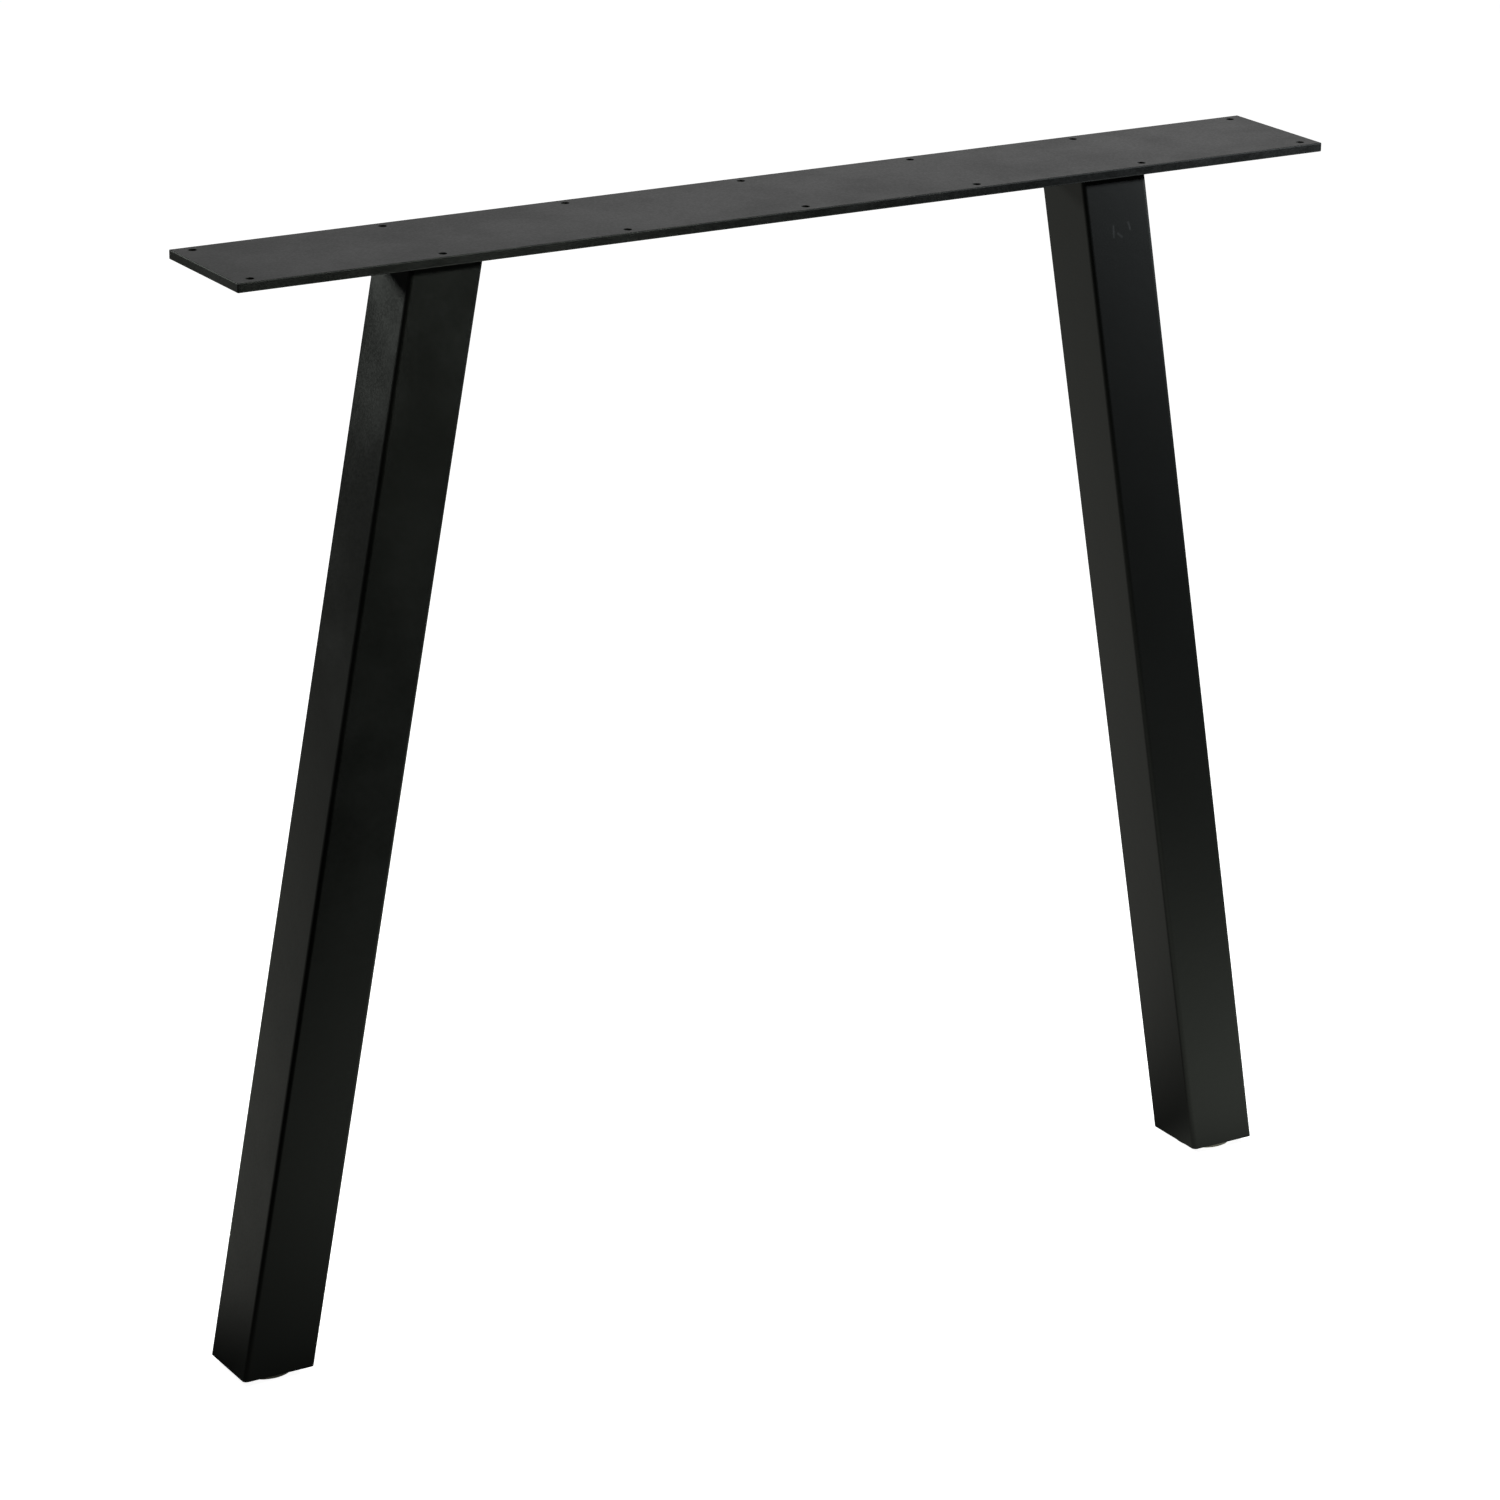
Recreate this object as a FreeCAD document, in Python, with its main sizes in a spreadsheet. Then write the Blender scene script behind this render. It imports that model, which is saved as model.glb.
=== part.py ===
# Steel trestle leg for a table. A flat plate, drilled along both long edges for
# the table top, is welded across two square tubes that splay towards the floor.
# Each tube is closed at the floor by a welded plate with a felt pad under it.
#
# The origin is on the floor, midway between the two feet. X runs along the
# plate, Y across it and Z up. Every length is in millimetres.

import FreeCAD, Part
import Sketcher
import math
import os

doc = FreeCAD.newDocument("TrestleLeg")

# Driving dimensions
sizes = doc.addObject("Spreadsheet::Sheet", "Sizes")
DRIVING_DIMENSIONS = (
    ("plate_length", 800, "top plate, along X"),
    ("plate_width", 95, "top plate, along Y"),
    ("plate_thickness", 6, "top plate"),
    ("plate_edge_radius", 0.6, "broken edges of the top plate"),
    ("hole_diameter", 5.5, "clearance hole for a 5 mm wood screw"),
    ("hole_columns", 7, "screw holes in each of the two rows"),
    ("hole_end_margin", 12, "end of the plate to the first hole's axis"),
    ("hole_side_margin", 8, "long edge of the plate to a row of holes"),
    ("frame_height", 730, "steel frame, feet of the tubes to the top of the plate"),
    ("head_inset", 128, "end of the plate to the outer face of a tube's head"),
    ("leg_splay", 128, "how far a tube's foot stands out past its head"),
    ("tube_size", 50, "square tube, outside"),
    ("tube_wall", 2, "square tube, wall"),
    ("tube_corner", 3, "square tube, outer corner radius"),
    ("tube_inner_corner", 1, "square tube, inner corner radius"),
    ("weld_leg", 3, "fillet weld, leg of its triangle"),
    ("weld_roundness", 1.3, "fillet weld, radius of its round face over its leg"),
    ("end_plate_thickness", 4, "plate that closes the foot of a tube"),
    ("end_plate_gap", 0.1, "between the end plate and the wall round it"),
    ("pad_margin", 5, "edge of a felt pad to the faces of the tube over it"),
    ("pad_thickness", 5, "felt pad"),
)
for row, (alias, value, meaning) in enumerate(DRIVING_DIMENSIONS, start=1):
    sizes.set(f"A{row}", meaning)
    sizes.set(f"B{row}", str(value))
    sizes.setAlias(f"B{row}", alias)
doc.recompute()

# Places and sizes that follow from the driving dimensions
TUBE_RISE = "(Sizes.frame_height - Sizes.plate_thickness)"
PLATE_UNDERSIDE = f"(Sizes.pad_thickness + {TUBE_RISE})"
TILT = f"atan(Sizes.leg_splay / {TUBE_RISE})"
HEAD_X = f"(Sizes.plate_length / 2 - Sizes.head_inset - Sizes.tube_size / 2 / cos({TILT}))"
FOOT_X = f"({HEAD_X} + Sizes.leg_splay)"
TUBE_INSIDE = "(Sizes.tube_size - 2 * Sizes.tube_wall)"
SIDES = (("left", "-1"), ("right", "1"))
FACES = (("front", "-1", "0"), ("back", "1", "180"))
UP = FreeCAD.Vector(0, 0, 1)
ACROSS = FreeCAD.Vector(0, 1, 0)


def new_body(label):
    """A sub-part of its own, named for the piece that it is."""
    body = doc.addObject("PartDesign::Body", label)
    body.Label = label
    return body


def place(body, x="0", y="0", z="0", axis=UP, angle="0"):
    """Moves the body's origin, and turns the body about it by an angle."""
    body.Placement.Rotation = FreeCAD.Rotation(axis, 1)
    body.setExpression("Placement.Rotation.Angle", angle)
    for name, position in (("x", x), ("y", y), ("z", z)):
        body.setExpression(f"Placement.Base.{name}", position)


def new_sketch(body, name, plane, lift="0"):
    """A sketch on one of the body's own planes, lifted along its normal."""
    sketch = body.newObject("Sketcher::SketchObject", name)
    support = next(f for f in body.Origin.OriginFeatures if f.Role == plane)
    sketch.AttachmentSupport = [(support, "")]
    sketch.MapMode = "FlatFace"
    sketch.setExpression("AttachmentOffset.Base.z", lift)
    return sketch


def new_feature(body, kind, name, **properties):
    """A PartDesign feature, which becomes the body's last one."""
    feature = body.newObject(f"PartDesign::{kind}", name)
    for key, value in properties.items():
        setattr(feature, key, value)
    body.Tip = feature
    return feature


def new_cut(body, name, profile):
    """A pocket right through the body, which has to take something away."""
    before = body.Shape.Volume
    pocket = new_feature(body, "Pocket", name, Profile=profile, Type="ThroughAll", SideType="Symmetric")
    doc.recompute()
    assert body.Shape.Volume < before, f"{name} cuts nothing"
    return pocket


def fix(sketch, kind, *where, size, drawn=1.0):
    """A constraint whose size is an expression, added at the size as drawn."""
    index = sketch.addConstraint(Sketcher.Constraint(kind, *where, drawn))
    sketch.setExpression(f"Constraints[{index}]", size)


def draw_polygon(sketch, corners):
    """A closed outline through corners given as pairs of expressions."""
    count = len(corners)
    start = [FreeCAD.Vector(i, i * i, 0) for i in range(count)]
    for i in range(count):
        sketch.addGeometry(Part.LineSegment(start[i], start[(i + 1) % count]))
    for i, (x, y) in enumerate(corners):
        sketch.addConstraint(Sketcher.Constraint("Coincident", i, 2, (i + 1) % count, 1))
        fix(sketch, "DistanceX", -1, 1, i, 1, size=x)
        fix(sketch, "DistanceY", -1, 1, i, 1, size=y)


def draw_rounded_rectangle(sketch, width, depth, radius):
    """A rectangle with round corners, centred on the sketch's origin."""
    first = sketch.GeometryCount
    half, rounding = 20.0, 2.0
    flat = half - rounding
    quarter = math.pi / 2
    # Each turn draws one side and the corner that follows it, anticlockwise
    for i, (x, y) in enumerate(((0, -1), (1, 0), (0, 1), (-1, 0))):
        middle = FreeCAD.Vector(x * half, y * half, 0)
        along = FreeCAD.Vector(-y * flat, x * flat, 0)
        centre = FreeCAD.Vector((x - y) * flat, (x + y) * flat, 0)
        circle = Part.Circle(centre, UP, rounding)
        sketch.addGeometry(Part.LineSegment(middle - along, middle + along))
        sketch.addGeometry(Part.ArcOfCircle(circle, (i - 1) * quarter, i * quarter))
    for i in range(4):
        side, corner = first + 2 * i, first + 2 * i + 1
        following = first + (2 * i + 2) % 8
        sketch.addConstraint(Sketcher.Constraint("Tangent", side, 2, corner, 1))
        sketch.addConstraint(Sketcher.Constraint("Tangent", corner, 2, following, 1))
        sketch.addConstraint(Sketcher.Constraint(("Horizontal", "Vertical")[i % 2], side))
        if i:
            sketch.addConstraint(Sketcher.Constraint("Equal", first + 1, corner))
    sketch.addConstraint(Sketcher.Constraint("Symmetric", first + 1, 3, first + 5, 3, -1, 1))
    fix(sketch, "DistanceX", first + 6, 1, first + 2, 1, size=width, drawn=2 * half)
    fix(sketch, "DistanceY", first, 1, first + 4, 1, size=depth, drawn=2 * half)
    fix(sketch, "Radius", first + 1, size=radius, drawn=rounding)


# Top plate: laser-cut, with broken edges and a row of screw holes down each long edge
plate = new_body("top_plate")
place(plate, z=PLATE_UNDERSIDE)
outline = new_sketch(plate, "plate_outline", "XY_Plane")
draw_polygon(outline, (
    ("-Sizes.plate_length / 2", "-Sizes.plate_width / 2"),
    ("Sizes.plate_length / 2", "-Sizes.plate_width / 2"),
    ("Sizes.plate_length / 2", "Sizes.plate_width / 2"),
    ("-Sizes.plate_length / 2", "Sizes.plate_width / 2"),
))
blank = new_feature(plate, "Pad", "plate_blank", Profile=outline)
blank.setExpression("Length", "Sizes.plate_thickness")
doc.recompute()

rounding = new_feature(plate, "Fillet", "broken_edges")
rounding.Base = (blank, [f"Edge{i}" for i in range(1, len(blank.Shape.Edges) + 1)])
rounding.setExpression("Radius", "min(Sizes.plate_edge_radius; Sizes.plate_thickness / 3)")
doc.recompute()

first_holes = new_sketch(plate, "first_holes", "XY_Plane")
for index, row_y in enumerate(("-1", "1")):
    first_holes.addGeometry(Part.Circle(FreeCAD.Vector(-1, float(row_y), 0), UP, 1))
    fix(first_holes, "Diameter", index, size="Sizes.hole_diameter")
    fix(first_holes, "DistanceX", -1, 1, index, 3, size="Sizes.hole_end_margin - Sizes.plate_length / 2")
    fix(first_holes, "DistanceY", -1, 1, index, 3,
        size=f"{row_y} * (Sizes.plate_width / 2 - Sizes.hole_side_margin)")
drilling = new_cut(plate, "first_hole_pair", first_holes)
hole_rows = new_feature(plate, "LinearPattern", "hole_rows", Originals=[drilling],
                        Direction=(first_holes, ["H_Axis"]), Mode="Extent")
hole_rows.setExpression("Length", "Sizes.plate_length - 2 * Sizes.hole_end_margin")
hole_rows.setExpression("Occurrences", "Sizes.hole_columns")
doc.recompute()

# Leg tubes: square tube, mitred level at both ends so that it stands tilted
for side, sign in SIDES:
    tube = new_body(f"{side}_leg_tube")
    lean = f"(-({sign}) * {TILT})"
    place(tube, x=f"{sign} * {FOOT_X}", z="Sizes.pad_thickness", axis=ACROSS, angle=lean)

    # The raw length runs past both mitres by half the tube's size
    section = new_sketch(tube, f"{side}_tube_section", "XY_Plane", "-Sizes.tube_size / 2")
    draw_rounded_rectangle(section, "Sizes.tube_size", "Sizes.tube_size", "Sizes.tube_corner")
    draw_rounded_rectangle(section, TUBE_INSIDE, TUBE_INSIDE, "Sizes.tube_inner_corner")
    raw = new_feature(tube, "Pad", f"{side}_raw_tube", Profile=section)
    raw.setExpression("Length", f"{TUBE_RISE} / cos({TILT}) + Sizes.tube_size")
    doc.recompute()

    # Both mitres rise by this much over one tube size along the tube's own X
    slope = f"Sizes.tube_size * tan({lean})"
    head = f"{TUBE_RISE} / cos({TILT})"
    ends = (("foot", "0", "-Sizes.tube_size"), ("head", head, f"{head} + Sizes.tube_size"))
    for end, level, outside in ends:
        mitre = new_sketch(tube, f"{side}_{end}_mitre", "XZ_Plane")
        draw_polygon(mitre, (
            ("-Sizes.tube_size", f"{level} - {slope}"),
            ("Sizes.tube_size", f"{level} + {slope}"),
            ("Sizes.tube_size", outside),
            ("-Sizes.tube_size", outside),
        ))
        new_cut(tube, f"{side}_{end}_cut", mitre)

# Head welds: a fillet bead under the plate on the front and the back of each
# tube. A bead's own origin is in the middle of the corner that it fills. Its
# run stays on the flat of the tube and ends in a quarter turn on each side.
HEAD_FLAT = f"((Sizes.tube_size - 2 * Sizes.tube_corner) / cos({TILT}) - Sizes.weld_leg * tan({TILT}))"
HALF_RUN = f"({HEAD_FLAT} / 2 - Sizes.weld_leg)"


def draw_bead(sketch):
    """The fillet's section: upright leg, level leg and a round face from toe to foot."""
    leg, root = 3.0, FreeCAD.Vector(0, 0, 0)
    toe, foot = FreeCAD.Vector(-leg, 0, 0), FreeCAD.Vector(0, -leg, 0)
    sketch.addGeometry(Part.LineSegment(foot, root))
    sketch.addGeometry(Part.LineSegment(root, toe))
    sketch.addGeometry(Part.ArcOfCircle(Part.Circle(root, UP, leg), math.pi, 1.5 * math.pi))
    for joined in ((0, 2, -1, 1), (1, 1, -1, 1), (1, 2, 2, 1), (0, 1, 2, 2)):
        sketch.addConstraint(Sketcher.Constraint("Coincident", *joined))
    sketch.addConstraint(Sketcher.Constraint("Vertical", 0))
    sketch.addConstraint(Sketcher.Constraint("Horizontal", 1))
    fix(sketch, "DistanceY", 0, 1, 0, 2, size="Sizes.weld_leg", drawn=leg)
    fix(sketch, "DistanceX", 1, 2, 1, 1, size="Sizes.weld_leg", drawn=leg)
    fix(sketch, "Radius", 2, size="Sizes.weld_leg * Sizes.weld_roundness", drawn=leg)


for side, sign in SIDES:
    for face, outward, turned in FACES:
        name = f"{side}_{face}"
        weld = new_body(f"{name}_weld")
        place(weld, x=f"{sign} * ({HEAD_X} + Sizes.weld_leg * tan({TILT}) / 2)",
              y=f"{outward} * Sizes.tube_size / 2", z=PLATE_UNDERSIDE, angle=turned)
        middle_section = new_sketch(weld, f"{name}_bead_section", "YZ_Plane")
        draw_bead(middle_section)
        run = new_feature(weld, "Pad", f"{name}_run", Profile=middle_section, SideType="Symmetric")
        run.setExpression("Length", f"2 * {HALF_RUN}")
        end_section = new_sketch(weld, f"{name}_bead_end", "YZ_Plane", HALF_RUN)
        draw_bead(end_section)
        end_turn = new_feature(weld, "Revolution", f"{name}_end_turn", Profile=end_section,
                               ReferenceAxis=(end_section, ["V_Axis"]), Angle=90)
        middle_plane = next(f for f in weld.Origin.OriginFeatures if f.Role == "YZ_Plane")
        new_feature(weld, "Mirrored", f"{name}_both_ends", Originals=[end_turn],
                    MirrorPlane=(middle_plane, [""]))
        doc.recompute()

# End plates: laser-cut, dropped into the foot of the tube flush with its cut
# and welded round. The tube's walls lean, so the plate is narrower by their lean.
for side, sign in SIDES:
    end_plate = new_body(f"{side}_end_plate")
    lean_in = f"Sizes.end_plate_thickness * tan({TILT})"
    place(end_plate, x=f"{sign} * ({FOOT_X} - {lean_in} / 2)", z="Sizes.pad_thickness")
    inside = new_sketch(end_plate, f"{side}_end_plate_outline", "XY_Plane")
    draw_rounded_rectangle(inside, f"{TUBE_INSIDE} / cos({TILT}) - {lean_in} - 2 * Sizes.end_plate_gap",
                           f"{TUBE_INSIDE} - 2 * Sizes.end_plate_gap", "Sizes.tube_inner_corner")
    closure = new_feature(end_plate, "Pad", f"{side}_end_plate_blank", Profile=inside)
    closure.setExpression("Length", "Sizes.end_plate_thickness")

# Felt pads: punched discs, glued under the end plates
for side, sign in SIDES:
    pad = new_body(f"{side}_felt_pad")
    place(pad, x=f"{sign} * {FOOT_X}")
    disc = new_sketch(pad, f"{side}_pad_outline", "XY_Plane")
    disc.addGeometry(Part.Circle(FreeCAD.Vector(0, 0, 0), UP, 20))
    disc.addConstraint(Sketcher.Constraint("Coincident", 0, 3, -1, 1))
    fix(disc, "Diameter", 0, size="Sizes.tube_size - 2 * Sizes.pad_margin")
    felt = new_feature(pad, "Pad", f"{side}_punched_felt", Profile=disc)
    felt.setExpression("Length", "Sizes.pad_thickness")

# Every object has to be sound before anything is written
doc.recompute()
for item in doc.Objects:
    faults = {"Invalid", "Error"}.intersection(item.State)
    assert not faults, f"{item.Label} is {', '.join(item.State)}"

os.makedirs("parts", exist_ok=True)
pieces = [item for item in doc.Objects if item.TypeId == "PartDesign::Body"]
for piece in pieces:
    shape = piece.Shape
    assert not shape.isNull() and shape.isValid(), f"{piece.Label} has no valid shape"
    assert len(shape.Solids) == 1, f"{piece.Label} is {len(shape.Solids)} solids"
for piece in pieces:
    piece.Shape.exportStep(f"parts/{piece.Label}.step")
    box = piece.Shape.optimalBoundingBox(False)
    print(f"{piece.Label}: {piece.Shape.Volume:.0f} mm3, x {box.XMin:.2f} to {box.XMax:.2f},"
          f" y {box.YMin:.2f} to {box.YMax:.2f}, z {box.ZMin:.2f} to {box.ZMax:.2f}")
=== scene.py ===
# The looks of a welded steel trestle leg for a table: a drilled flat plate on two
# splayed square tubes, all in black powder coat, with felt pads under its feet.
# Metres, with X along the plate, Y across it, Z up, and the floor at zero.

import math
import random

import bmesh
import bpy
from mathutils import Matrix, Vector, noise


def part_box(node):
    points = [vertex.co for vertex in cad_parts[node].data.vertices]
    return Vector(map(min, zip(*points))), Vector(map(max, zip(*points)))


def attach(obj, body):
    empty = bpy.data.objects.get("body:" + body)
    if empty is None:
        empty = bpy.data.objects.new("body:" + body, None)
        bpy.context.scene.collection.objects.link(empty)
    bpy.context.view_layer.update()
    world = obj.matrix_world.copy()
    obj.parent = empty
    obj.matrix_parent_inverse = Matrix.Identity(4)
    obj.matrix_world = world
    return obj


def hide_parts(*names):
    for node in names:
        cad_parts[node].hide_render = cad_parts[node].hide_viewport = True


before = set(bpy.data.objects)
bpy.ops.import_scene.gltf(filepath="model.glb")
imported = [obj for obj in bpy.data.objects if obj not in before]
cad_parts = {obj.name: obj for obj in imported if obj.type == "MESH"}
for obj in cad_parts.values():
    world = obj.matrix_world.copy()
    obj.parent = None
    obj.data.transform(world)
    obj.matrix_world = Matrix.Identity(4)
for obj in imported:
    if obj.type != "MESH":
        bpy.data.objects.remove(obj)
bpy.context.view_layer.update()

# The welded frame: the top plate, the tubes and the plates that close their
# feet. Mild steel, welded, blasted, then sprayed and baked with black polyester
# powder, which leaves a fine pebbled skin between matt and gloss.
MM = 0.001
COAT_BLACK = "#060706"
COAT_THIN = "#090a09"
COAT_IOR = 1.5
COAT_ROUGHNESS = 0.34
COAT_CLOUD_SWING = (-0.03, 0.04)
COAT_GRAIN_SWING = (-0.03, 0.03)
COAT_GRAIN = 1.6 * MM        # the real grain is about 0.4 mm, drawn coarser to show
COAT_GRAIN_DEPTH = 0.02 * MM
COAT_PEEL = 8 * MM           # the slow waves of the melted powder
COAT_PEEL_DEPTH = 0.045 * MM
COAT_CLOUD = 45 * MM         # patches where the gun left a little more or less
EDGE_WIDTH = 0.7 * MM
EDGE_ROUGHNESS = 0.75


def linear(code):
    """A hex sRGB colour as the linear RGBA that the shaders read."""
    parts = [int(code[i:i + 2], 16) / 255 for i in (1, 3, 5)]
    return [p / 12.92 if p <= 0.04045 else ((p + 0.055) / 1.055) ** 2.4 for p in parts] + [1.0]


def add(tree, kind, inputs=None, **settings):
    """A shader node with its settings and inputs. An input is a value or another node's output."""
    node = tree.nodes.new(kind)
    for key, value in settings.items():
        setattr(node, key, value)
    for key, value in (inputs or {}).items():
        if isinstance(value, bpy.types.NodeSocket):
            tree.links.new(value, node.inputs[key])
        else:
            node.inputs[key].default_value = value
    return node


def blank_material(name):
    """An empty material, and its node tree to fill."""
    material = bpy.data.materials.new(name)
    material.use_nodes = True
    material.node_tree.nodes.clear()
    return material, material.node_tree


def spread(tree, factor, low, high, to_low=0.0, to_high=1.0):
    """The factor's stretch from low to high, smoothly spread over the new limits."""
    inputs = {"Value": factor, "From Min": low, "From Max": high, "To Min": to_low, "To Max": to_high}
    return add(tree, "ShaderNodeMapRange", inputs, interpolation_type="SMOOTHSTEP").outputs["Result"]


def blend(tree, factor, first, second):
    """A colour between two, each a colour or another node's output."""
    return add(tree, "ShaderNodeMix", {0: factor, 6: first, 7: second}, data_type="RGBA").outputs[2]


def powder_coat(name, form=None, marks=None, thin=None):
    """Black powder coat. form is the height of the steel, and marks and thin mask its scuffs and edges."""
    material, tree = blank_material(name)
    place = add(tree, "ShaderNodeTexCoord").outputs["Object"]
    grain = add(tree, "ShaderNodeTexNoise", {"Vector": place, "Scale": 1 / COAT_GRAIN, "Detail": 2.0})
    peel = add(tree, "ShaderNodeTexNoise", {"Vector": place, "Scale": 1 / COAT_PEEL, "Detail": 1.0})
    cloud = add(tree, "ShaderNodeTexNoise", {"Vector": place, "Scale": 1 / COAT_CLOUD, "Detail": 3.0})
    colour = blend(tree, spread(tree, cloud.outputs["Fac"], 0.35, 0.7), linear(COAT_BLACK),
                   linear(COAT_THIN))
    smoothest, roughest = (COAT_ROUGHNESS + swing for swing in COAT_CLOUD_SWING)
    cloudy = spread(tree, cloud.outputs["Fac"], 0.3, 0.75, smoothest, roughest)
    grainy = spread(tree, grain.outputs["Fac"], 0.3, 0.7, *COAT_GRAIN_SWING)
    rough = add(tree, "ShaderNodeMath", {0: cloudy, 1: grainy}, operation="ADD").outputs[0]
    if marks:
        scuffed = marks(tree, place)
        colour = blend(tree, scuffed, colour, linear(SCUFF_GREY))
        rough = spread(tree, scuffed, 0, 1, SCUFFED_COAT_ROUGHNESS, SCUFF_ROUGHNESS)
    if thin:
        rough = spread(tree, thin(tree, place), 0, 1, rough, EDGE_ROUGHNESS)
    waves = add(tree, "ShaderNodeBump", {"Distance": COAT_PEEL_DEPTH, "Height": peel.outputs["Fac"]})
    if form:
        shape = add(tree, "ShaderNodeBump", {"Distance": 1.0, "Height": form(tree, place)})
        tree.links.new(shape.outputs["Normal"], waves.inputs["Normal"])
    pebbles = add(tree, "ShaderNodeBump", {"Distance": COAT_GRAIN_DEPTH, "Height": grain.outputs["Fac"],
                                           "Normal": waves.outputs["Normal"]})
    skin = add(tree, "ShaderNodeBsdfPrincipled", {"Base Color": colour, "Roughness": rough, "IOR": COAT_IOR,
                                                  "Normal": pebbles.outputs["Normal"]})
    add(tree, "ShaderNodeOutputMaterial", {"Surface": skin.outputs["BSDF"]})
    return material


def plate_edges(tree, place):
    """A mask of the plate's rounded edges. A guess: they are dull, as the photo has no glint there."""
    low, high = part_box("top_plate")
    centre, flat = (low + high) / 2, (high - low) / 2 - Vector((EDGE_WIDTH, EDGE_WIDTH, EDGE_WIDTH))
    away = add(tree, "ShaderNodeVectorMath", {0: place, 1: centre}, operation="SUBTRACT").outputs[0]
    away = add(tree, "ShaderNodeVectorMath", {0: away}, operation="ABSOLUTE").outputs[0]
    past = add(tree, "ShaderNodeVectorMath", {0: away, 1: flat}, operation="SUBTRACT").outputs[0]
    past = add(tree, "ShaderNodeSeparateXYZ", {"Vector": past}).outputs
    sideways = add(tree, "ShaderNodeMath", {0: past["X"], 1: past["Y"]}, operation="MAXIMUM").outputs[0]
    both = add(tree, "ShaderNodeMath", {0: sideways, 1: past["Z"]}, operation="MINIMUM").outputs[0]
    return spread(tree, both, -0.2 * EDGE_WIDTH, 0.1 * EDGE_WIDTH)


def dress(node, material):
    """Gives a CAD node its finish and leaves its mesh as it is."""
    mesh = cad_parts[node].data
    mesh.materials.clear()
    mesh.materials.append(material)


dress("top_plate", powder_coat("plate_powder_coat", thin=plate_edges))
coat = powder_coat("black_powder_coat")
for node in ("left_end_plate", "right_end_plate"):
    dress(node, coat)

# The leg tubes: cold-rolled square tube, whose walls bulge a little between
# their corners, under the same coat. The right one has a few short pale strokes
# high on its front, which are taken for scuffs.
TUBE_BULGE = 0.3 * MM
TUBE_HALF = 25 * MM
SCUFF_GREY = "#151617"
SCUFF_ROUGHNESS = 0.5
SCUFFED_COAT_ROUGHNESS = 0.4    # the right tube's coat, matched to the photo with the lamps below
SCUFF_WIDTH = 1.1 * MM
SCUFFS = (((248.4, 690.6), (249.2, 683)),
          ((252.3, 685.2), (255.7, 682.4)),
          ((260.1, 692), (262, 687)))    # each stroke's ends, X and Z in mm


def scuff_marks(tree, place):
    """A mask of the strokes, each the band within half a width of a straight line."""
    strongest = 0.0
    for (x0, z0), (x1, z1) in SCUFFS:
        start = Vector((x0, 0, z0)) * MM
        along = Vector((x1 - x0, 0, z1 - z0)) * MM
        flat = add(tree, "ShaderNodeVectorMath", {0: place, 1: (1, 0, 1)}, operation="MULTIPLY")
        away = add(tree, "ShaderNodeVectorMath", {0: flat.outputs[0], 1: start}, operation="SUBTRACT")
        unit = along / along.length_squared
        share = add(tree, "ShaderNodeVectorMath", {0: away.outputs[0], 1: unit}, operation="DOT_PRODUCT")
        held = add(tree, "ShaderNodeClamp", {"Value": share.outputs["Value"]})
        nearest = add(tree, "ShaderNodeVectorMath", {0: along, "Scale": held.outputs[0]}, operation="SCALE")
        gap = add(tree, "ShaderNodeVectorMath", {0: away.outputs[0], 1: nearest.outputs[0]},
                  operation="DISTANCE")
        band = spread(tree, gap.outputs["Value"], 0.2 * SCUFF_WIDTH, SCUFF_WIDTH, 1, 0)
        strongest = add(tree, "ShaderNodeMath", {0: strongest, 1: band}, operation="MAXIMUM").outputs[0]
    return strongest


def bulging(foot, axis):
    """The height of a tube's walls, which drops with the square of the distance from the tube's axis."""
    def form(tree, place):
        away = add(tree, "ShaderNodeVectorMath", {0: place, 1: foot}, operation="SUBTRACT")
        across = add(tree, "ShaderNodeVectorMath", {0: away.outputs[0], 1: axis}, operation="CROSS_PRODUCT")
        square = add(tree, "ShaderNodeVectorMath", {0: across.outputs[0], 1: across.outputs[0]},
                     operation="DOT_PRODUCT")
        drop = -TUBE_BULGE / TUBE_HALF ** 2
        height = add(tree, "ShaderNodeMath", {0: square.outputs["Value"], 1: drop}, operation="MULTIPLY")
        return height.outputs[0]
    return form


for side, marks in (("left", None), ("right", scuff_marks)):
    pad_low, pad_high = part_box(f"{side}_felt_pad")
    weld_low, weld_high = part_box(f"{side}_front_weld")
    foot = Vector(((pad_low.x + pad_high.x) / 2, 0, pad_high.z))
    head = Vector(((weld_low.x + weld_high.x) / 2, 0, weld_high.z))
    form = bulging(foot, (head - foot).normalized())
    dress(f"{side}_leg_tube", powder_coat(f"{side}_tube_powder_coat", form, marks))

# The head welds: a fillet bead on the front and the back of each tube, laid by
# hand in the corner under the plate and coated with the rest. The arc moved on
# in small steps, and each step left a ripple that sags in the bead's middle.
RIPPLE = 1.5 * MM
RIPPLE_STEPS = ((0.3, 0.985), (0.25, 1.01), (0.25, 1.005), (0.2, 0.985))   # share of the pitch, and size
RIPPLE_SAG = 0.7 * MM
RIPPLE_SPREAD = 0.012
BEAD_ROUNDNESS = 1.3         # radius of the round face over the bead's leg
BEAD_STEPS = 8
BEAD_TIP = 0.2               # size of the bead's section where it starts and ends
SHARP_EDGE = math.radians(40)
dice = random.Random(7)


def shown(bm, name, material):
    """A finished mesh as an object in the scene, smooth but for its sharp edges."""
    bmesh.ops.recalc_face_normals(bm, faces=bm.faces[:])
    for face in bm.faces:
        face.smooth = True
    for edge in bm.edges:
        edge.smooth = edge.calc_face_angle(math.pi) < SHARP_EDGE
    mesh = bpy.data.meshes.new(name)
    bm.to_mesh(mesh)
    bm.free()
    mesh.materials.append(material)
    piece = bpy.data.objects.new(name, mesh)
    bpy.context.scene.collection.objects.link(piece)
    return piece


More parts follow.
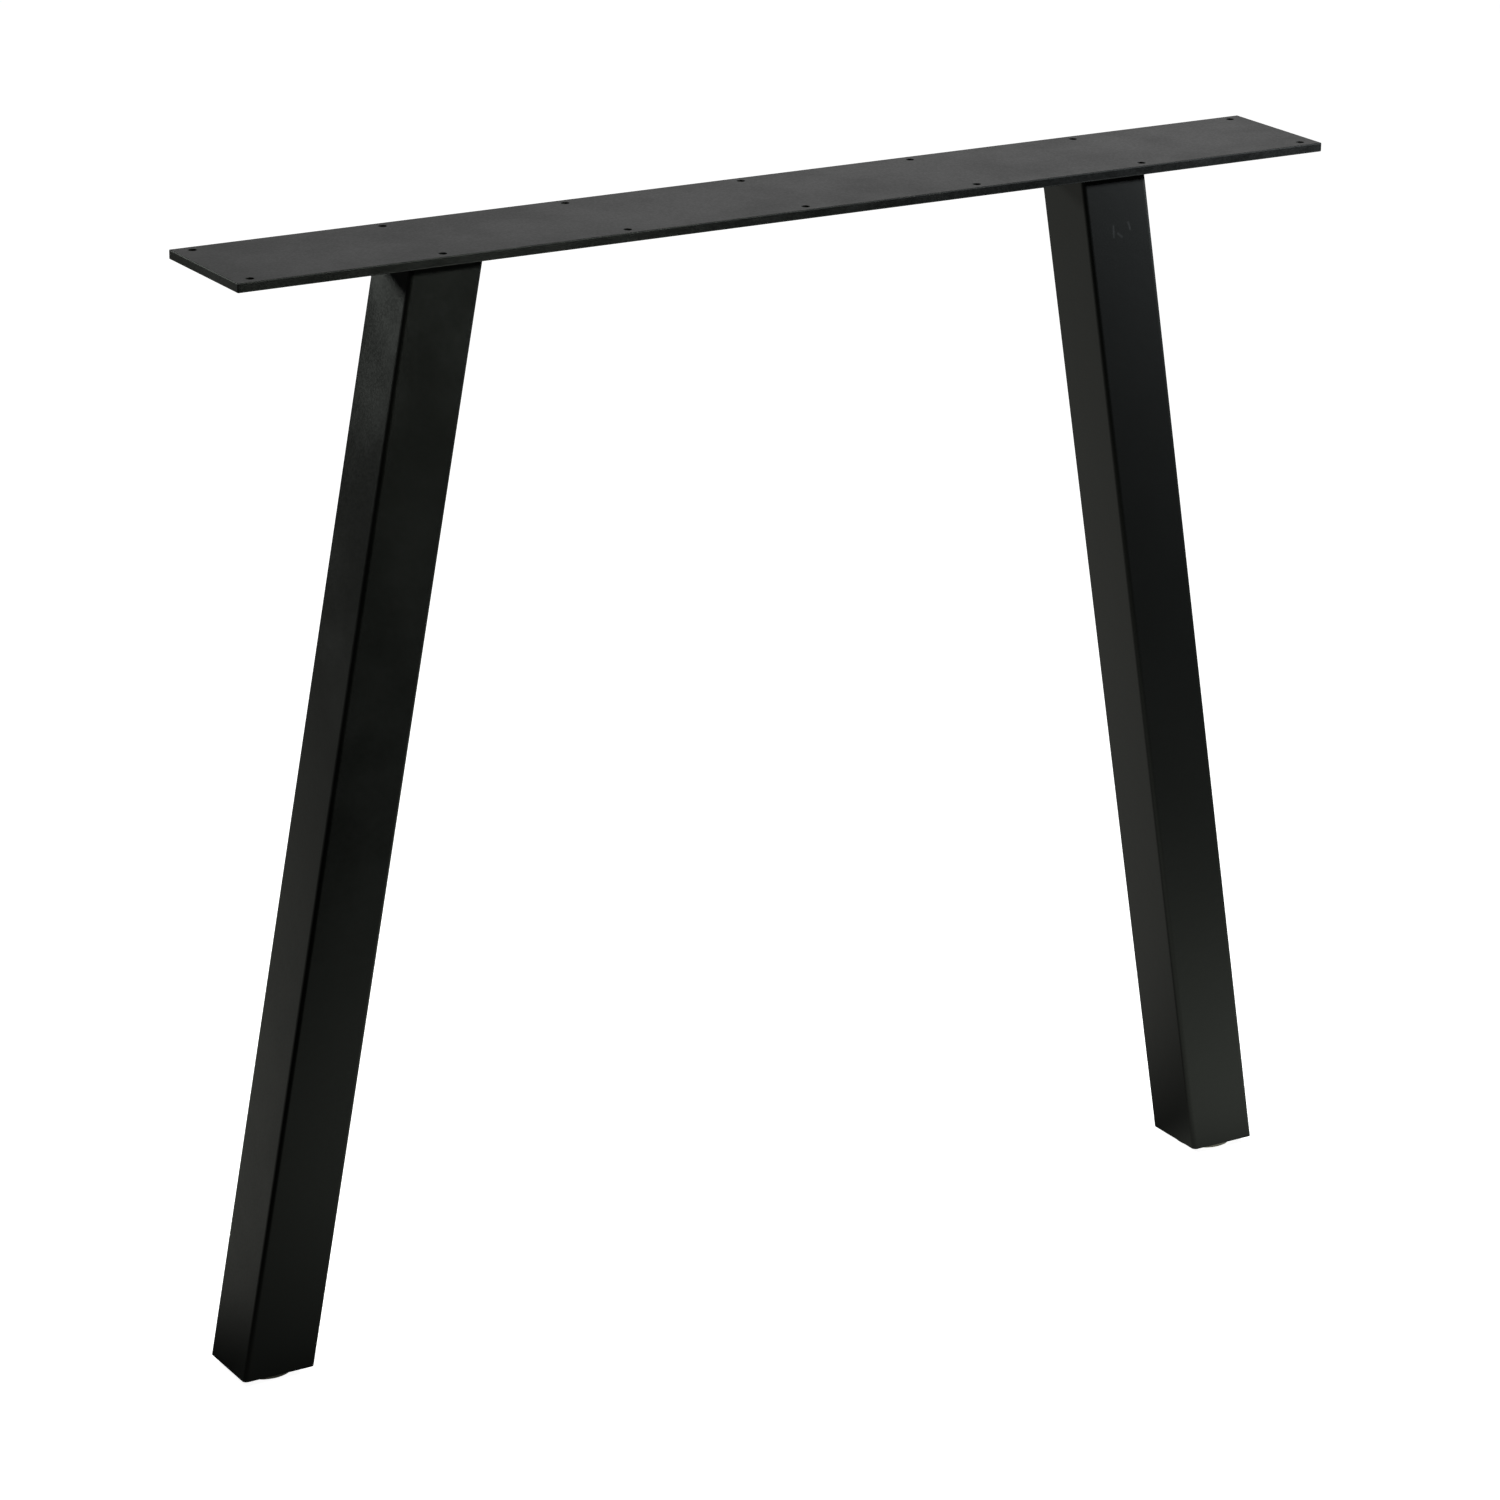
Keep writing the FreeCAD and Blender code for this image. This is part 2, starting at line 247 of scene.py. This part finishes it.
def bead_section(bm, low, high, outward):
    """The bead's three-sided section at its start, and the root of the corner that it fills."""
    leg = high.z - low.z
    root = Vector((low.x, low.y if outward > 0 else high.y, high.z))
    toe = root + Vector((0, outward * leg, 0))
    foot = root - Vector((0, 0, leg))
    # The face's centre lies inside the corner, level with the middle of the face
    reach = math.sqrt((BEAD_ROUNDNESS * leg) ** 2 - leg ** 2 / 2) - leg / math.sqrt(2)
    centre = root + Vector((0, -outward, 1)).normalized() * reach
    sweep = (toe - centre).angle(foot - centre)
    bmesh.ops.spin(bm, geom=[bm.verts.new(toe)], cent=centre, axis=(outward, 0, 0), angle=-sweep,
                   steps=BEAD_STEPS)
    arc = bm.verts[:]
    for step, vertex in enumerate(arc):
        vertex.co.x -= RIPPLE_SAG * math.sin(math.pi * step / BEAD_STEPS)
    return bm.faces.new(arc + [bm.verts.new(root)]), root


def weld_bead(node, outward):
    """A rippled bead in the corner that its CAD node fills. outward is the sign of Y on that face."""
    low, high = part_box(node)
    leg, length = high.z - low.z, high.x - low.x
    bm = bmesh.new()
    face, root = bead_section(bm, low, high, outward)
    hub = Matrix.Translation(-root)
    bmesh.ops.scale(bm, vec=(BEAD_TIP, BEAD_TIP, BEAD_TIP), space=hub, verts=face.verts[:])
    travelled, size = 0.0, BEAD_TIP
    while travelled < length:
        swell = dice.uniform(1 - RIPPLE_SPREAD, 1 + RIPPLE_SPREAD)
        for share, bulge in RIPPLE_STEPS:
            step = min(share * RIPPLE, length - travelled)
            travelled += step
            to_end = min(travelled, length - travelled, leg) / leg
            wanted = max(bulge * swell * math.sqrt(1 - (1 - to_end) ** 2), BEAD_TIP)
            face = bmesh.ops.extrude_discrete_faces(bm, faces=[face])["faces"][0]
            growth = wanted / size
            bmesh.ops.scale(bm, vec=(1, growth, growth), space=hub, verts=face.verts[:])
            bmesh.ops.translate(bm, vec=(step, 0, 0), verts=face.verts[:])
            size = wanted
            if travelled >= length:
                break
    bmesh.ops.holes_fill(bm, edges=bm.edges[:])
    bead = shown(bm, node.replace("_weld", "_weld_bead"), coat)
    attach(bead, "root")
    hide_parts(node)


for side in ("left", "right"):
    weld_bead(f"{side}_front_weld", -1)
    weld_bead(f"{side}_back_weld", 1)

# The felt pads: discs punched from pressed wool felt and glued under the feet.
# The punch rounds their rims a little, and the wool is uneven and fluffy.
FELT_LIGHT = "#d9d6cb"
FELT_DARK = "#a9a598"
FELT_FIBRE = 0.35 * MM
FELT_LUMP = 2.5 * MM
FELT_UNEVEN = 0.2 * MM
FELT_NAP = 0.15 * MM
STRAND_TURNS = (0.3, 1.4, 2.4)
STRAND_STRETCH = (0.12, 1, 1)
PAD_SEGMENTS = 160
# Share of the height, and how far the rim draws in, in mm
PAD_RINGS = ((0.0, 0.8), (0.05, 0.35), (0.16, 0.05), (0.4, 0.0), (0.65, 0.0), (0.86, 0.1), (0.95, 0.35),
             (1.0, 0.7))

felt, tree = blank_material("pressed_wool_felt")
place = add(tree, "ShaderNodeTexCoord").outputs["Object"]
fluff = []
for turn in STRAND_TURNS:
    strands = add(tree, "ShaderNodeMapping", {"Vector": place, "Rotation": (turn, 0.4 * turn, turn),
                                              "Scale": STRAND_STRETCH})
    hairs = add(tree, "ShaderNodeTexNoise", {"Vector": strands.outputs[0], "Scale": 1 / FELT_FIBRE,
                                             "Detail": 3.0, "Distortion": 0.6})
    fluff.append(hairs.outputs["Fac"])
crossed = add(tree, "ShaderNodeMath", {0: fluff[0], 1: fluff[1]}, operation="MAXIMUM").outputs[0]
crossed = add(tree, "ShaderNodeMath", {0: crossed, 1: fluff[2]}, operation="MAXIMUM").outputs[0]
shade = blend(tree, spread(tree, crossed, 0.45, 0.72), linear(FELT_DARK), linear(FELT_LIGHT))
bumps = add(tree, "ShaderNodeBump", {"Distance": FELT_NAP, "Height": crossed})
wool = add(tree, "ShaderNodeBsdfPrincipled", {"Base Color": shade, "Roughness": 0.95, "IOR": 1.5,
                                              "Sheen Weight": 0.3, "Normal": bumps.outputs["Normal"]})
add(tree, "ShaderNodeOutputMaterial", {"Surface": wool.outputs["BSDF"]})


def felt_pad(node):
    """An uneven punched disc in the place of its CAD node."""
    low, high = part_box(node)
    radius, height = (high.x - low.x) / 2, high.z - low.z
    axis = Vector(((low.x + high.x) / 2, (low.y + high.y) / 2, low.z))
    bm = bmesh.new()
    bmesh.ops.create_circle(bm, segments=PAD_SEGMENTS, radius=radius - PAD_RINGS[0][1] * MM,
                            matrix=Matrix.Translation(axis))
    rim = bm.edges[:]
    for (below, drawn_in), (above, next_in) in zip(PAD_RINGS, PAD_RINGS[1:]):
        rim = [item for item in bmesh.ops.extrude_edge_only(bm, edges=rim)["geom"]
               if isinstance(item, bmesh.types.BMEdge)]
        ring = list({vertex for edge in rim for vertex in edge.verts})
        growth = (radius - next_in * MM) / (radius - drawn_in * MM)
        bmesh.ops.scale(bm, vec=(growth, growth, 1), space=Matrix.Translation(-axis), verts=ring)
        bmesh.ops.translate(bm, vec=(0, 0, (above - below) * height), verts=ring)
    for vertex in bm.verts:
        outward = (vertex.co - axis) * Vector((1, 1, 0))
        vertex.co -= outward.normalized() * FELT_UNEVEN * (1 + noise.noise(vertex.co / FELT_LUMP))
    bmesh.ops.holes_fill(bm, edges=bm.edges[:])
    pad = shown(bm, node.replace("_felt_pad", "_felt_disc"), felt)
    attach(pad, "root")
    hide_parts(node)


felt_pad("left_felt_pad")
felt_pad("right_felt_pad")

# The studio floor: white paper, which the camera sees lit evenly to its edge.
# The coat sees another floor, a painted glow fitted to its tones in the photo and
# no true one: painted pools of light at the right foot and before the middle, a
# wide painted glow behind that fades with distance, painted shade at the left
# foot, and the dark towards the camera.
FLOOR_HALF = 9.0
PAPER_WHITE = "#e6e6e3"
PAPER_GLOW = 0.95
# Each pool's centre, squeeze, reach and glow
POOLS = (((0.55, -0.1, 0), (0.68, 1.35, 1), (0.1, 1.0), 0.29),
         ((0.55, -0.1, 0), (1.3, 1.5, 1), (0.05, 0.6), 0.38),
         ((0.02, -0.38, 0), (1.5, 1.5, 1), (0.05, 0.8), 0.27))
POOL_BACK = (-0.09, 0.06)
POOL_TINT = "#f6fff0"
REAR_START = (-0.05, 0.22)
REAR_REACH = (0.5, 4.4)
REAR_GLOW = 0.32
REAR_TINT = "#fdfff5"
LEFT_FOOT = (-0.375, 0, 0)
FOOT_SHADE = (0.03, 0.3)
FOOT_DARK = 0.25

paper, tree = blank_material("white_paper_floor")
place = add(tree, "ShaderNodeTexCoord").outputs["Object"]
pool = 0.0
# Painted pools of light, which glow on the floor for the coat alone
for centre, squeeze, reach, pool_glow in POOLS:
    away = add(tree, "ShaderNodeVectorMath", {0: place, 1: centre}, operation="SUBTRACT").outputs[0]
    away = add(tree, "ShaderNodeVectorMath", {0: away, 1: squeeze}, operation="MULTIPLY").outputs[0]
    away = add(tree, "ShaderNodeVectorMath", {0: away}, operation="LENGTH").outputs["Value"]
    patch = spread(tree, away, *reach, pool_glow, 0)
    pool = add(tree, "ShaderNodeMath", {0: pool, 1: patch}, operation="ADD").outputs[0]
depth = add(tree, "ShaderNodeSeparateXYZ", {"Vector": place}).outputs["Y"]
front = spread(tree, depth, *POOL_BACK, 1, 0)
pool = add(tree, "ShaderNodeMath", {0: pool, 1: front}, operation="MULTIPLY").outputs[0]
behind = spread(tree, depth, *REAR_START)
far = add(tree, "ShaderNodeVectorMath", {0: place}, operation="LENGTH").outputs["Value"]
fading = spread(tree, far, *REAR_REACH, REAR_GLOW, 0)
rear = add(tree, "ShaderNodeMath", {0: behind, 1: fading}, operation="MULTIPLY").outputs[0]
# Painted shade on that glow around the left foot
gap = add(tree, "ShaderNodeVectorMath", {0: place, 1: LEFT_FOOT}, operation="DISTANCE").outputs["Value"]
shaded = spread(tree, gap, *FOOT_SHADE, FOOT_DARK, 1)
rear = add(tree, "ShaderNodeMath", {0: rear, 1: shaded}, operation="MULTIPLY").outputs[0]
glow = add(tree, "ShaderNodeMath", {0: pool, 1: rear}, operation="MAXIMUM").outputs[0]
tint = blend(tree, spread(tree, depth, *POOL_BACK), linear(POOL_TINT), linear(REAR_TINT))
# The painted glow, which only the coat sees in its reflections
painted_glow = add(tree, "ShaderNodeEmission", {"Color": tint, "Strength": glow})
white = add(tree, "ShaderNodeEmission", {"Strength": PAPER_GLOW})
lit = add(tree, "ShaderNodeBsdfDiffuse", {"Color": linear(PAPER_WHITE)})
bright = add(tree, "ShaderNodeAddShader", {0: white.outputs[0], 1: lit.outputs[0]})
by_eye = add(tree, "ShaderNodeLightPath").outputs["Is Camera Ray"]
seen = add(tree, "ShaderNodeMixShader", {0: by_eye, 1: painted_glow.outputs[0], 2: bright.outputs[0]})
add(tree, "ShaderNodeOutputMaterial", {"Surface": seen.outputs[0]})

bm = bmesh.new()
bmesh.ops.create_grid(bm, x_segments=1, y_segments=1, size=FLOOR_HALF)
shown(bm, "floor", paper)

# The lamps, whose places and powers are fitted to the coat's tones in the photo:
# a small key light at the right of the front, whose hard shadow of
# the plate falls on the heads of the tubes, two weak ones with grids on the
# left leg's front, a small rim light behind the left, and a softbox overhead.
# The walls are dark but for a lit one behind the right.
WALL_AT = (0.77, 0.6, 0.2)
WALL_EDGE = (0.72, 1.0)
WALL_DARK = 0.03
WALL_LIGHT = 0.62


def softbox(name, at, towards, size, power, tint="#ffffff", grid=180):
    """A rectangular lamp that faces a point, unseen by the camera. grid is its beam in degrees."""
    lamp = bpy.data.lights.new(name, "AREA")
    lamp.shape = "RECTANGLE"
    lamp.size, lamp.size_y = size
    lamp.energy = power
    lamp.color = linear(tint)[:3]
    lamp.spread = math.radians(grid)
    holder = bpy.data.objects.new(name, lamp)
    holder.location = at
    holder.rotation_euler = (Vector(towards) - Vector(at)).to_track_quat("-Z", "Y").to_euler()
    holder.visible_camera = False
    bpy.context.scene.collection.objects.link(holder)


softbox("key_light", (1.09, -0.55, 0.955), (0, 0, 0.7), (0.1, 0.05), 13, "#f4fcff")
softbox("left_leg_light", (0.15, -0.9, 1.1), (-0.28, 0, 0.66), (0.2, 0.06), 0.55, "#f6ffee", grid=50)
softbox("low_reflector", (0.15, -0.9, 0.3), (-0.32, 0, 0.45), (0.5, 0.25), 0.006, "#f6ffee", grid=50)
softbox("rim_light", (-0.92, 0.94, 1.04), (-0.3, 0, 0.5), (0.12, 0.12), 12, "#f7fff7")
softbox("overhead_softbox", (0.4, 0.2, 3.0), (0.1, 0, 0), (2.4, 1.6), 26)

world = bpy.data.worlds.new("studio_walls")
bpy.context.scene.world = world
world.use_nodes = True
tree = world.node_tree
tree.nodes.clear()
direction = add(tree, "ShaderNodeTexCoord").outputs["Generated"]
facing = add(tree, "ShaderNodeVectorMath", {0: direction, 1: WALL_AT}, operation="DOT_PRODUCT")
strength = spread(tree, facing.outputs["Value"], *WALL_EDGE, WALL_DARK, WALL_LIGHT)
walls = add(tree, "ShaderNodeBackground", {"Strength": strength})
white = add(tree, "ShaderNodeBackground", {"Color": (1, 1, 1, 1)})
by_eye = add(tree, "ShaderNodeLightPath").outputs["Is Camera Ray"]
seen = add(tree, "ShaderNodeMixShader", {0: by_eye, 1: walls.outputs[0], 2: white.outputs[0]})
add(tree, "ShaderNodeOutputWorld", {"Surface": seen.outputs[0]})
bpy.context.scene.view_settings.view_transform = "Standard"

# The camera stands at the left of the leg's front, at the height of a person's
# chest, as far back as a long lens needs, and leans a little to its right.
LENS = 124.53
TURN = math.radians(-31.49)
RISE = math.radians(19.47)
ROLL = math.radians(0.82)
DISTANCE = 3420.4 * MM
AIM = Vector((-11.2, 0, 361.3)) * MM
back = Vector((math.sin(TURN) * math.cos(RISE), -math.cos(TURN) * math.cos(RISE), math.sin(RISE)))
level = Vector((math.cos(TURN), math.sin(TURN), 0))
upright = back.cross(level)
right = level * math.cos(ROLL) + upright * math.sin(ROLL)
up = upright * math.cos(ROLL) - level * math.sin(ROLL)
lens = bpy.data.cameras.new("camera")
lens.lens = LENS
camera = bpy.data.objects.new("camera", lens)
turned = Matrix((right, up, back)).transposed().to_4x4()
camera.matrix_world = Matrix.Translation(AIM + back * DISTANCE) @ turned
bpy.context.scene.collection.objects.link(camera)
bpy.context.scene.camera = camera
